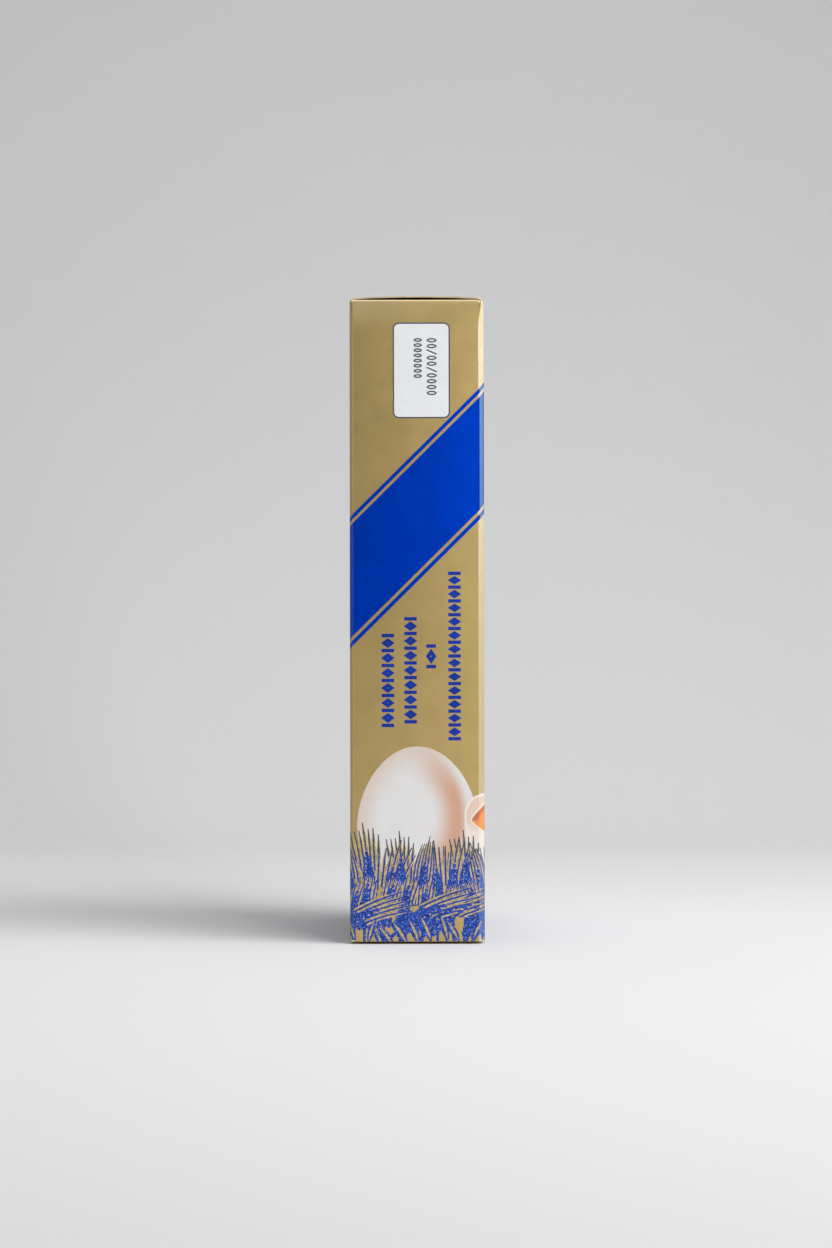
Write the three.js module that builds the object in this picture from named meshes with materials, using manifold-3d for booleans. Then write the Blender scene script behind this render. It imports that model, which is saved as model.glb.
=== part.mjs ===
// A shut folding carton of dry egg pasta: one sheet of board, folded, glued and tucked, standing upright.
// Millimetres, +Z up. The origin is on the floor, under the middle of the carton. The narrow front
// looks towards -Y. The top and bottom flaps are hinged on the +X panel, and the sheet's glued seam
// runs up the corner between the -X panel and the back. The carton is shut, so it is solid inside.

import * as THREE from 'three';
import { mergeVertices } from 'three/addons/utils/BufferGeometryUtils.js';
import Module from 'manifold-3d';

const board = 0.45; // thickness of the sheet

const carton = {
  width: 52, // narrow sides, along X
  depth: 120, // wide sides, along Y
  bottomFold: 0.85, // height of the bottom dust flaps' fold
  topFold: 250.2, // height of the top dust flaps' fold
  foldRadius: 1.2,
  foldSteps: 2,
};

const crease = {
  radius: 1.7, // scored upright corners
  halfSteps: 2, // each corner has twice as many facets
};

const swell = {
  wide: 0.9, // how far the filled wide panels stand out at mid-height
  narrow: 0.45,
  wideSteps: 12,
  narrowSteps: 6,
  levels: 14,
};

const topFlap = {
  rise: 0.95, // the flap is a little too wide for its carton, so it bows up
  gapHalfSpan: 24.4,
  gapDepth: 12, // how far the bowed edge can be seen under
  setback: 0.5, // from the front and the back
  tuckClearance: 0.1,
  hingeRadius: 0.9,
  tuckRadius: 0.5,
  archSteps: 14,
  arcSteps: 3,
};

const bottomFlap = {
  setback: 0.6,
  freeEdge: 1, // distance of its cut edge from the -X panel
  hingeRadius: 0.9,
  gapHalfSpan: 24.4,
  gapDepth: 5,
};

const seam = {
  setback: 1, // the -X panel's cut edge stops this far short of the back
};

const sink = 3; // how far a closure reaches into the sleeve that it joins
const beyond = 2; // how far a cutter stands out of what it cuts
const inside = 0.02; // keeps joined faces from lying in one plane

const halfWidth = carton.width / 2;
const halfDepth = carton.depth / 2;
const cartonHeight = carton.topFold - carton.bottomFold;

const wasm = await Module();
wasm.setup();

function toSolid(geometry) {
  const bare = geometry.clone();
  bare.deleteAttribute('normal');
  bare.deleteAttribute('uv');
  const merged = mergeVertices(bare);
  const mesh = new wasm.Mesh({
    numProp: 3,
    vertProperties: new Float32Array(merged.attributes.position.array),
    triVerts: new Uint32Array(merged.index.array),
  });
  return new wasm.Manifold(mesh);
}

function toGeometry(solid) {
  const mesh = solid.getMesh();
  const geometry = new THREE.BufferGeometry();
  geometry.setAttribute('position', new THREE.BufferAttribute(mesh.vertProperties, mesh.numProp));
  geometry.setIndex(new THREE.BufferAttribute(mesh.triVerts, 1));
  geometry.computeVertexNormals();
  return geometry;
}

// A solid box between two opposite corners.
function boxSolid(low, high) {
  const size = new THREE.Vector3().subVectors(high, low);
  const middle = new THREE.Vector3().addVectors(low, high).multiplyScalar(0.5);
  const geometry = new THREE.BoxGeometry(size.x, size.y, size.z);
  return toSolid(geometry.translate(middle.x, middle.y, middle.z));
}

// A profile drawn in X and Z, drawn out along Y from one place to another.
function drawnAlongY(points, fromY, toY) {
  const options = { depth: toY - fromY, steps: 1, bevelEnabled: false };
  const geometry = new THREE.ExtrudeGeometry(new THREE.Shape(points), options);
  return toSolid(geometry.rotateX(Math.PI / 2).translate(0, toY, 0));
}

// Points on a round fold, from one angle to another.
function arcPoints(centreX, centreZ, radius, fromAngle, toAngle) {
  const points = [];
  for (let step = 0; step <= topFlap.arcSteps; step += 1) {
    const angle = fromAngle + ((toAngle - fromAngle) * step) / topFlap.arcSteps;
    points.push(new THREE.Vector2(centreX + radius * Math.cos(angle), centreZ + radius * Math.sin(angle)));
  }
  return points;
}

// The sleeve's cross-section: four panels, divided so that they can swell, between round corners.
function sleeveShape() {
  const radius = crease.radius;
  const middleX = halfWidth - radius;
  const middleY = halfDepth - radius;
  const corners = [
    [middleX, -middleY],
    [middleX, middleY],
    [-middleX, middleY],
    [-middleX, -middleY],
  ];
  const shape = new THREE.Shape();
  corners.forEach(([x, y], index) => {
    const start = ((index - 1) * Math.PI) / 2;
    const end = start + Math.PI / 2;
    const [nextX, nextY] = corners[(index + 1) % corners.length];
    const steps = index % 2 === 0 ? swell.wideSteps : swell.narrowSteps;
    shape.absarc(x, y, radius, start, end, false);
    for (let step = 1; step < steps; step += 1) {
      const share = step / steps;
      shape.lineTo(
        x + (nextX - x) * share + radius * Math.cos(end),
        y + (nextY - y) * share + radius * Math.sin(end),
      );
    }
  });
  shape.closePath();
  return shape;
}

// How far out a panel stands at one point, as a share of its most.
function swellShare(across, halfSpan, z) {
  if (Math.abs(across) >= halfSpan) {
    return 0;
  }
  const height = (z - carton.bottomFold) / cartonHeight;
  return Math.cos((Math.PI * across) / (2 * halfSpan)) * Math.sin(Math.PI * height);
}

// The four panels and the folds of the dust flaps, swollen by what is inside.
function makeSleeve() {
  const geometry = new THREE.ExtrudeGeometry(sleeveShape(), {
    depth: cartonHeight - 2 * carton.foldRadius,
    steps: swell.levels,
    curveSegments: crease.halfSteps,
    bevelEnabled: true,
    bevelThickness: carton.foldRadius,
    bevelSize: carton.foldRadius,
    bevelOffset: -carton.foldRadius,
    bevelSegments: carton.foldSteps,
  });
  geometry.translate(0, 0, carton.bottomFold + carton.foldRadius);
  const position = geometry.attributes.position;
  for (let index = 0; index < position.count; index += 1) {
    const x = position.getX(index);
    const y = position.getY(index);
    const z = position.getZ(index);
    const onWide = Math.abs(x) > halfWidth - carton.foldRadius;
    const onNarrow = Math.abs(y) > halfDepth - carton.foldRadius;
    const outX = onWide ? swell.wide * swellShare(y, halfDepth - crease.radius, z) : 0;
    const outY = onNarrow ? swell.narrow * swellShare(x, halfWidth - crease.radius, z) : 0;
    position.setXY(index, x + Math.sign(x) * outX, y + Math.sign(y) * outY);
  }
  return toSolid(geometry);
}

// The underside of the bowed top flap, from one end of its gap to the other.
function archPoints(lift) {
  const points = [];
  for (let step = 0; step <= topFlap.archSteps; step += 1) {
    const share = (2 * step) / topFlap.archSteps - 1;
    const height = topFlap.rise * Math.cos((share * Math.PI) / 2);
    points.push(new THREE.Vector2(share * topFlap.gapHalfSpan, carton.topFold + height + lift));
  }
  return points;
}

// The top flap: hinged on +X, bowed across, and tucked in behind the -X panel.
function makeTopClosure() {
  const tuckX = -(halfWidth - board - topFlap.tuckClearance);
  const hingeX = halfWidth - inside;
  const flapTop = carton.topFold + board;
  const { hingeRadius, tuckRadius } = topFlap;
  const quarter = Math.PI / 2;
  const profile = [
    new THREE.Vector2(tuckX, carton.topFold - sink),
    new THREE.Vector2(hingeX, carton.topFold - sink),
    ...arcPoints(hingeX - hingeRadius, flapTop - hingeRadius, hingeRadius, 0, quarter),
    ...archPoints(board).reverse(),
    ...arcPoints(tuckX + tuckRadius, flapTop - tuckRadius, tuckRadius, quarter, 2 * quarter),
  ];
  const reach = halfDepth - topFlap.setback;
  return drawnAlongY(profile, -reach, reach);
}

// The lens-shaped gap under the bowed flap, at the front and at the back.
function makeTopGaps() {
  const lens = archPoints(0).reverse();
  const innerEnd = halfDepth - topFlap.gapDepth;
  const outerEnd = halfDepth + beyond;
  return drawnAlongY(lens, -outerEnd, -innerEnd).add(drawnAlongY(lens, innerEnd, outerEnd));
}

// The -X panel's cut upper edge, which stands square beside the tuck.
function makeCutEdge() {
  const reach = halfDepth - crease.radius;
  return boxSolid(
    new THREE.Vector3(-halfWidth + inside, -reach, carton.topFold - sink),
    new THREE.Vector3(-halfWidth + board, reach, carton.topFold),
  );
}

// The bottom flap that the carton stands on: hinged on +X, with its cut edge near -X.
function makeBottomClosure() {
  const freeX = -(halfWidth - bottomFlap.freeEdge);
  const hingeX = halfWidth - inside;
  const { hingeRadius } = bottomFlap;
  const profile = [
    new THREE.Vector2(freeX, carton.bottomFold + sink),
    new THREE.Vector2(freeX, 0),
    ...arcPoints(hingeX - hingeRadius, hingeRadius, hingeRadius, -Math.PI / 2, 0),
    new THREE.Vector2(hingeX, carton.bottomFold + sink),
  ];
  const reach = halfDepth - bottomFlap.setback;
  return drawnAlongY(profile, -reach, reach);
}

// The low gap between the bottom flap and the dust flap's fold, at one end.
function makeBottomGap(direction) {
  const outerY = direction * (halfDepth + beyond);
  const innerY = direction * (halfDepth - bottomFlap.gapDepth);
  return boxSolid(
    new THREE.Vector3(-bottomFlap.gapHalfSpan, Math.min(outerY, innerY), board),
    new THREE.Vector3(bottomFlap.gapHalfSpan, Math.max(outerY, innerY), carton.bottomFold),
  );
}

// The step at the seam, where the back's crease comes out from under the -X panel's cut edge.
function makeSeamStep() {
  return boxSolid(
    new THREE.Vector3(-halfWidth - beyond, halfDepth - seam.setback, -beyond),
    new THREE.Vector3(-halfWidth + board, halfDepth + beyond, carton.topFold + beyond),
  );
}

function makeCarton() {
  const closed = makeSleeve().add(makeTopClosure()).add(makeCutEdge()).add(makeBottomClosure());
  const gapped = closed.subtract(makeTopGaps()).subtract(makeBottomGap(-1)).subtract(makeBottomGap(1));
  return gapped.subtract(makeSeamStep());
}

const goldBoard = new THREE.MeshStandardMaterial({
  name: 'gold_board',
  color: 0xb09a62,
  roughness: 0.42,
  metalness: 0.5,
});

const cartonMesh = new THREE.Mesh(toGeometry(makeCarton()), goldBoard);
cartonMesh.name = 'carton';

const group = new THREE.Group();
group.add(cartonMesh);

export default group;
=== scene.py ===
import math
import random

import bpy
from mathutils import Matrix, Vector


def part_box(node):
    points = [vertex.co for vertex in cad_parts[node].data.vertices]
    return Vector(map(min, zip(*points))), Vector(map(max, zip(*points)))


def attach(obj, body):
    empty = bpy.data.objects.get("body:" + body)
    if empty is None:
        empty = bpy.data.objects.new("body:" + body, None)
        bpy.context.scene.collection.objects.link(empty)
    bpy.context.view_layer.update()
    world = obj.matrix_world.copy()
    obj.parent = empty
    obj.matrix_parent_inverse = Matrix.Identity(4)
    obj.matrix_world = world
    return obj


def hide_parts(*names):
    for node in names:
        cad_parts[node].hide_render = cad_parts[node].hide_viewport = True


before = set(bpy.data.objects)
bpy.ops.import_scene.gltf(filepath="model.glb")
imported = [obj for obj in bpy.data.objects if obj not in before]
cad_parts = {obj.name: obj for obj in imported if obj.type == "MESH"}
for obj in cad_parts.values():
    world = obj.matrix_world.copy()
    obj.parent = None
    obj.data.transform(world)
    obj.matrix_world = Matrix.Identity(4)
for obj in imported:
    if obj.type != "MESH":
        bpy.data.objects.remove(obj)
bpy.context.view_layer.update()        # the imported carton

mm = 0.001
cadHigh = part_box("carton")[1]
bpy.ops.object.select_all(action="DESELECT")

# the sheet of board that the carton is folded from

sheet = {
    "board": 0.5 * mm,
    "solidSwellWide": 0.9 * mm,      # how far the solid's panels swell
    "solidSwellNarrow": 0.45 * mm,
    "swellWide": 0.825 * mm,         # a little less, so that the print stays inside the solid's box
    "swellNarrow": 0.36 * mm,
    "hingeCrease": 2.0 * mm,         # the scored corners on +X, seen square on
    "freeCrease": 1.2 * mm,          # and on -X
    "creaseRound": 0.2 * mm,
    "creaseGroove": 0.09 * mm,
    "creaseGrooveShare": 0.12,
    "creaseSteps": 12,
    "seamSetback": 1.0 * mm,         # the last panel's cut edge stops short of its corner
    "bottomFold": 0.95 * mm,
    "topFold": 250.2 * mm,
    "topRadius": 1.2 * mm,
    "hingeDraw": 0.75,               # the hinge side draws in less at the top, under the flap
    "bottomRadius": 0.15 * mm,
    "foldSteps": 6,
    "smoothing": 17,                 # degrees; sharper turns than this stay crisp
    "wideSteps": 24,
    "narrowSteps": 12,
    "levels": 40,
    "printStart": 0.2 * mm,          # print keeps clear of the seam at both ends of the girth
    "printStop": 0.5 * mm,
    "repeatReach": 30 * mm,          # what lies this near the seam is drawn at both ends
}
halfWidth = cadHigh.x - sheet["solidSwellWide"]
halfDepth = cadHigh.y - sheet["solidSwellNarrow"]
filmThickness = 0.003 * mm
tolerance = 0.01 * mm


def srgb(red, green, blue):
    def linear(value):
        share = value / 255
        return share / 12.92 if share <= 0.04045 else ((share + 0.055) / 1.055) ** 2.4
    return (linear(red), linear(green), linear(blue), 1.0)


# small helpers for working by hand

def only(piece):
    if bpy.context.object and bpy.context.object.mode != "OBJECT":
        bpy.ops.object.mode_set(mode="OBJECT")
    bpy.ops.object.select_all(action="DESELECT")
    piece.select_set(True)
    bpy.context.view_layer.objects.active = piece


def intoEdit(piece):
    only(piece)
    bpy.ops.object.mode_set(mode="EDIT")
    bpy.ops.mesh.select_all(action="SELECT")


def outOfEdit():
    bpy.ops.object.mode_set(mode="OBJECT")


def settle(*pieces):
    # place, turn and size go into the mesh
    only(pieces[0])
    for piece in pieces[1:]:
        piece.select_set(True)
    bpy.ops.object.transform_apply(location=True, rotation=True, scale=True)


def applyModifiers(piece):
    only(piece)
    for modifier in list(piece.modifiers):
        bpy.ops.object.modifier_apply(modifier=modifier.name)


def named(piece, name):
    piece.name = name
    piece.data.name = name
    return piece


def joinAll(pieces, name):
    settle(*pieces)
    if len(pieces) > 1:
        bpy.ops.object.join()
    return named(bpy.context.object, name)


def copyOf(master, x=0.0, y=0.0, z=0.0, turn=0.0, size=(1.0, 1.0)):
    # a copy with a mesh of its own, laid on the drawing board
    twin = master.copy()
    twin.data = master.data.copy()
    bpy.context.collection.objects.link(twin)
    twin.location = (x, y, z)
    twin.rotation_euler = (0, 0, turn)
    twin.scale = (size[0], size[1], 1)
    return twin


def remove(pieces):
    for piece in pieces:
        bpy.data.objects.remove(piece)


def cutAcross(piece, points, normal, clearOuter=False, clearInner=False):
    # one bisect for each point, all square to the same direction
    intoEdit(piece)
    for point in points:
        bpy.ops.mesh.select_all(action="SELECT")
        bpy.ops.mesh.bisect(
            plane_co=point, plane_no=normal, threshold=1e-7,
            clear_outer=clearOuter, clear_inner=clearInner,
        )
    outOfEdit()


# the girth: the carton's outline from its seam round to its seam again

def creaseWidth(signX):
    return sheet["hingeCrease"] if signX > 0 else sheet["freeCrease"]


def creasePoint(signX, signY, share):
    # across one scored corner, from its wide panel to its narrow one
    width = creaseWidth(signX)
    wideEnd = Vector((signX * halfWidth, signY * (halfDepth - width)))
    narrowEnd = Vector((signX * (halfWidth - width), signY * halfDepth))
    outwards = Vector((signX, signY)).normalized()
    groove = math.exp(-(((share - 0.5) / sheet["creaseGrooveShare"]) ** 2))
    lift = sheet["creaseRound"] * 4 * share * (1 - share) - sheet["creaseGroove"] * groove
    return wideEnd.lerp(narrowEnd, share) + outwards * lift


def seamPoint(share):
    # the back panel's crease goes in under the cut edge of the -X panel
    angle = share * math.pi / 2
    x = -halfWidth + sheet["freeCrease"] - (sheet["freeCrease"] - sheet["board"]) * math.sin(angle)
    y = halfDepth - sheet["seamSetback"] * (1 - math.cos(angle))
    return Vector((x, y))


def stretch(function, steps):
    return [(function, step / steps) for step in range(steps)]


def straight(start, end):
    return lambda share: Vector(start).lerp(Vector(end), share)


def girthStretches():
    wide, narrow, crease = sheet["wideSteps"], sheet["narrowSteps"], sheet["creaseSteps"]
    freeX, hingeX = -halfWidth + sheet["freeCrease"], halfWidth - sheet["hingeCrease"]
    freeY, hingeY = halfDepth - sheet["freeCrease"], halfDepth - sheet["hingeCrease"]
    seamY = halfDepth - sheet["seamSetback"]
    return (
        stretch(straight((-halfWidth, seamY), (-halfWidth, -freeY)), wide)
        + stretch(lambda share: creasePoint(-1, -1, share), crease)
        + stretch(straight((freeX, -halfDepth), (hingeX, -halfDepth)), narrow)
        + stretch(lambda share: creasePoint(1, -1, 1 - share), crease)
        + stretch(straight((halfWidth, -hingeY), (halfWidth, hingeY)), wide)
        + stretch(lambda share: creasePoint(1, 1, share), crease)
        + stretch(straight((hingeX, halfDepth), (freeX, halfDepth)), narrow)
        + stretch(seamPoint, crease // 2)
        + [(seamPoint, 1.0)]
    )


def girthLine():
    # stations of the sleeve, their distance round the girth, and a finer line between them
    stretches = girthStretches()
    stations = [function(share) for function, share in stretches]
    finer = 8
    line, distances, travelled = [stations[0]], [0.0], 0.0
    for index in range(len(stations) - 1):
        function, share = stretches[index]
        following, nextShare = stretches[index + 1]
        endShare = nextShare if following is function else 1.0
        for step in range(1, finer + 1):
            point = function(share + (endShare - share) * step / finer)
            travelled += (point - line[-1]).length
            line.append(point)
        distances.append(travelled)
    return stations, distances, line


stations, stationAt, girthPoints = girthLine()
girthLength = stationAt[-1]


def stationOf(x, y):
    # the distance round the girth of the station nearest to a point
    nearest = min(range(len(stations)), key=lambda index: (stations[index] - Vector((x, y))).length)
    return stationAt[nearest]


def onCrease(place):
    reach = creaseWidth(place.x) + tolerance
    return abs(place.x) > halfWidth - reach and abs(place.y) > halfDepth - reach


creaseAt = [at for at, place in zip(stationAt, stations) if onCrease(place)]
frontFrom = stationOf(-halfWidth + sheet["freeCrease"], -halfDepth)
frontAt = frontFrom + halfWidth - sheet["freeCrease"]      # the middle of the front panel
backFrom = stationOf(halfWidth - sheet["hingeCrease"], halfDepth)
backAt = backFrom + halfWidth - sheet["hingeCrease"]
rightPanelAt = stationOf(halfWidth, -halfDepth + sheet["hingeCrease"])


def makeGirthCurve():
    bpy.ops.curve.primitive_nurbs_path_add()
    girth = bpy.context.object
    girth.name = "girthLine"
    curve = girth.data
    curve.splines.clear()
    spline = curve.splines.new("POLY")
    spline.points.add(len(girthPoints) - 1)
    for point, place in zip(spline.points, girthPoints):
        point.co = (place.x, place.y, 0, 1)
    curve.twist_mode = "Z_UP"
    return girth


# the cage that swells the panels, the same for the board and for its print

cage = {
    "across": 13,
    "up": 43,
    "margin": Vector((1.2, 1.2, 1.05)),      # the cage's size, as a share of the carton's
    "plateau": 10,                           # how squarely the swelling starts at the folds
}


def makeSwellCage():
    bpy.ops.object.add(type="LATTICE")
    frameCage = bpy.context.object
    frameCage.name = "swellCage"
    lattice = frameCage.data
    lattice.points_u = lattice.points_v = cage["across"]
    lattice.points_w = cage["up"]
    for axis in "uvw":
        setattr(lattice, "interpolation_type_" + axis, "KEY_CATMULL_ROM")
    half = Vector((halfWidth, halfDepth, sheet["topFold"] / 2)) * cage["margin"]
    frameCage.scale = half * 2
    frameCage.location = (0, 0, sheet["topFold"] / 2)
    for point in lattice.points:
        x, y, z = point.co * cage["margin"] * 2      # from -1 to 1 within the carton
        up = 1 - abs(z) ** cage["plateau"]
        outX = sheet["swellWide"] * x * (1 - y * y) * up
        outY = sheet["swellNarrow"] * y * (1 - x * x) * up
        point.co_deform = point.co + Vector((outX / half.x, outY / half.y, 0)) / 2
    return frameCage


def levelHeights():
    # closer together towards the folds, where the swelling starts
    low, high = sheet["bottomFold"] + sheet["bottomRadius"], sheet["topFold"] - sheet["topRadius"]
    shares = [0.5 - 0.5 * math.cos(math.pi * step / sheet["levels"]) for step in range(1, sheet["levels"])]
    return [low + (high - low) * share for share in shares]


levelsAt = levelHeights()
girthCurve = makeGirthCurve()
swellCage = makeSwellCage()


def swell(piece):
    only(piece)
    piece.modifiers.new("swell", "LATTICE").object = swellCage
    applyModifiers(piece)


def smooth(piece, degrees):
    only(piece)
    bpy.ops.object.shade_smooth_by_angle(angle=math.radians(degrees))


print("sheet: girth", round(girthLength / mm, 1), "mm")


def fill(tree, sockets, values):
    # a plain value is set, a socket is linked
    for label, value in values.items():
        if isinstance(value, (int, float, tuple)):
            sockets[label].default_value = value
        else:
            tree.links.new(value, sockets[label])


def addNode(tree, kind, values, **settings):
    node = tree.nodes.new("ShaderNode" + kind)
    for name, setting in settings.items():
        setattr(node, name, setting)
    fill(tree, node.inputs, values)
    return node.outputs


def addMath(tree, operation, *values):
    return addNode(tree, "Math", dict(enumerate(values)), operation=operation)["Value"]


def product(tree, *factors):
    result = factors[0]
    for factor in factors[1:]:
        result = addMath(tree, "MULTIPLY", result, factor)
    return result


def addRamp(tree, value, low, high):
    # from 0 at low to 1 at high, eased
    values = {"Value": value, "From Min": low, "From Max": high}
    return addNode(tree, "MapRange", values, interpolation_type="SMOOTHSTEP")["Result"]


def addColourMix(tree, factor, first, second):
    return addNode(tree, "Mix", {0: factor, 6: first, 7: second}, data_type="RGBA")[2]


def addNoise(tree, place, scale, detail):
    return addNode(tree, "TexNoise", {"Vector": place, "Scale": scale, "Detail": detail})["Fac"]


def partsOf(tree, place):
    return addNode(tree, "SeparateXYZ", {"Vector": place})


def newMaterial(name):
    material = bpy.data.materials.new(name)
    material.use_nodes = True
    return material, material.node_tree, material.node_tree.nodes["Principled BSDF"].inputs


def newGroup(name, inputs, outputs):
    # an input is given by its first value, or by its kind where it has none
    tree = bpy.data.node_groups.new(name, "ShaderNodeTree")
    for label, value in inputs.items():
        kind = value if isinstance(value, str) else "Float"
        socket = tree.interface.new_socket(name=label, in_out="INPUT", socket_type="NodeSocket" + kind)
        if kind == "Float":
            socket.default_value = value
    for label, kind in outputs.items():
        tree.interface.new_socket(name=label, in_out="OUTPUT", socket_type="NodeSocket" + kind)
    return tree, tree.nodes.new("NodeGroupInput").outputs, tree.nodes.new("NodeGroupOutput").inputs


def makeInkGrainGroup():
    # soft blotches and fine grain of ink on board
    tree, given, result = newGroup("inkGrain", {
        "Place": "Vector",
        "Colour": "Color",
        "Deep Colour": "Color",
        "Blotch Scale": 70.0,
        "Grain Scale": 900.0,
        "Grain Share": 0.5,
        "Low": 0.3,
        "High": 0.7,
        "Roughness": 0.5,
        "Roughness Spread": 0.03,
    }, {"Colour": "Color", "Roughness": "Float", "Height": "Float"})
    blotch = addNoise(tree, given["Place"], given["Blotch Scale"], detail=3)
    grain = addNoise(tree, given["Place"], given["Grain Scale"], detail=3)
    apart = addMath(tree, "SUBTRACT", grain, blotch)
    both = addMath(tree, "MULTIPLY_ADD", apart, given["Grain Share"], blotch)
    spread = addRamp(tree, both, given["Low"], given["High"])
    centred = addMath(tree, "SUBTRACT", spread, 0.5)
    fill(tree, result, {
        "Colour": addColourMix(tree, spread, given["Deep Colour"], given["Colour"]),
        "Roughness": addMath(tree, "MULTIPLY_ADD", centred, given["Roughness Spread"], given["Roughness"]),
        "Height": grain,
    })
    return tree


foldLook = {
    "paleEdge": 0.25 * mm,                # a crease is pale a little beyond its width
    "highEnd": (60 * mm, 230 * mm),       # painted highlight: the creases are paler the higher they are
    "topWidth": 0.5,                      # of a crease's width, at the top fold
    "uneven": (0.5, 0.75),                # how much of the creases' paleness is patchy, and how much even
    "rubGain": 1.3,
    "rubbedBare": (0.95, 1.15),
    "flapStarts": (0.5 * mm, 0.1 * mm),   # above the top fold, where the wear ends
}


def makeFoldWearAndSheenGroup():
    # the scored upright corners, pale partly from worn ink and partly as a painted highlight; a painted
    # highlight on the top fold; and the eight points where the board is rubbed bare
    tree, given, result = newGroup("foldWearAndSheen", {
        "Place": "Vector",
        "Half Width": halfWidth,
        "Half Depth": halfDepth,
        "Hinge Crease": sheet["hingeCrease"] + foldLook["paleEdge"],
        "Free Crease": sheet["freeCrease"] + foldLook["paleEdge"],
        # painted shade: the free side's creases, turned from the light, are less pale
        "Free Share": 0.38,
        "Softness": 0.3 * mm,
        "Low": sheet["bottomFold"],
        "High": sheet["topFold"],
        # painted highlight: the creases are less pale low down
        "Low Share": 0.56,
        "Crease End": 11 * mm,
        # painted highlight: a pale band along the top fold, where light from above falls
        "Fold Height": 2.4 * mm,
        "Fold Share": 0.38,
        # painted light: the free side's upper end made a little paler
        "Painted Light Height": 14 * mm,
        "Painted Light Share": 0.2,
        "Rub Width": 3.2 * mm,
        "Rub Height": 1.7 * mm,
        "Rub Scale": 900.0,
    }, {"Crease": "Float", "Rub": "Float"})

    def less(first, second):
        return addMath(tree, "SUBTRACT", first, second)

    def between(share, low):
        # from low, where the share is 0, to 1
        return addMath(tree, "MULTIPLY_ADD", share, less(1.0, low), low)

    parts = partsOf(tree, given["Place"])
    onHinge = addMath(tree, "GREATER_THAN", parts["X"], 0.0)
    wider = less(given["Hinge Crease"], given["Free Crease"])
    width = addMath(tree, "MULTIPLY_ADD", wider, onHinge, given["Free Crease"])
    # on the narrow panels the crease draws in towards the top fold
    below = addRamp(tree, parts["Z"], given["High"], less(given["High"], given["Crease End"]))
    drawnIn = product(tree, width, between(below, foldLook["topWidth"]))
    creases, rubs = [], []
    for axis, half, span in (("X", given["Half Width"], drawnIn), ("Y", given["Half Depth"], width)):
        away = addMath(tree, "ABSOLUTE", parts[axis])
        start = less(half, span)
        creases.append(addRamp(tree, away, start, addMath(tree, "ADD", start, given["Softness"])))
        rubs.append(addRamp(tree, away, less(half, given["Rub Width"]), half))
    lowEnd = addMath(tree, "ADD", given["Low"], given["Rub Height"])
    nearLow = addRamp(tree, parts["Z"], lowEnd, given["Low"])
    nearHigh = addRamp(tree, parts["Z"], less(given["High"], given["Rub Height"]), given["High"])
    rub = product(tree, *rubs, addMath(tree, "MAXIMUM", nearLow, nearHigh))
    speck = addNoise(tree, given["Place"], given["Rub Scale"], detail=2)
    rubbed = addMath(tree, "MULTIPLY_ADD", rub, foldLook["rubGain"], speck)
    uneven = addMath(tree, "MULTIPLY_ADD", speck, *foldLook["uneven"])
    # painted highlight: creases paler higher up, and on the hinge side that faces the light than on the free
    # side
    byHeight = between(addRamp(tree, parts["Z"], *foldLook["highEnd"]), given["Low Share"])
    bySide = between(onHinge, given["Free Share"])
    crease = product(tree, *creases, uneven, byHeight, bySide)
    # a painted highlight along the top fold, and painted light making the free side's upper end a little
    # paler
    onFold = addRamp(tree, parts["Z"], less(given["High"], given["Fold Height"]), given["High"])
    paintedLight = product(
        tree,
        addRamp(tree, parts["Z"], less(given["High"], given["Painted Light Height"]), given["High"]),
        addRamp(tree, parts["X"], halfWidth, -halfWidth),
    )
    for near, share in ((onFold, given["Fold Share"]), (paintedLight, given["Painted Light Share"])):
        crease = addMath(tree, "MAXIMUM", crease, product(tree, near, share))
    # but not the flap above it
    overHigh = less(parts["Z"], given["High"])
    fill(tree, result, {
        "Crease": product(tree, crease, addRamp(tree, overHigh, *foldLook["flapStarts"])),
        "Rub": addRamp(tree, rubbed, *foldLook["rubbedBare"]),
    })
    return tree


inkGrain = makeInkGrainGroup()
foldWearAndSheen = makeFoldWearAndSheenGroup()
rawColour = srgb(214, 202, 172)      # the board under the ink

inkLook = {      # what each look starts from; the grain's depth is in millimetres
    "metallic": 0.0,
    "roughness": 0.5,
    "blotch": 140.0,
    "grain": 1400.0,
    "grainDepth": 0.01,
    "range": (0.3, 0.7),
    "creaseColour": rawColour,
    "creaseShare": 0.0,
    "paleCrease": sheet["hingeCrease"] + foldLook["paleEdge"],
}


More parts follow.
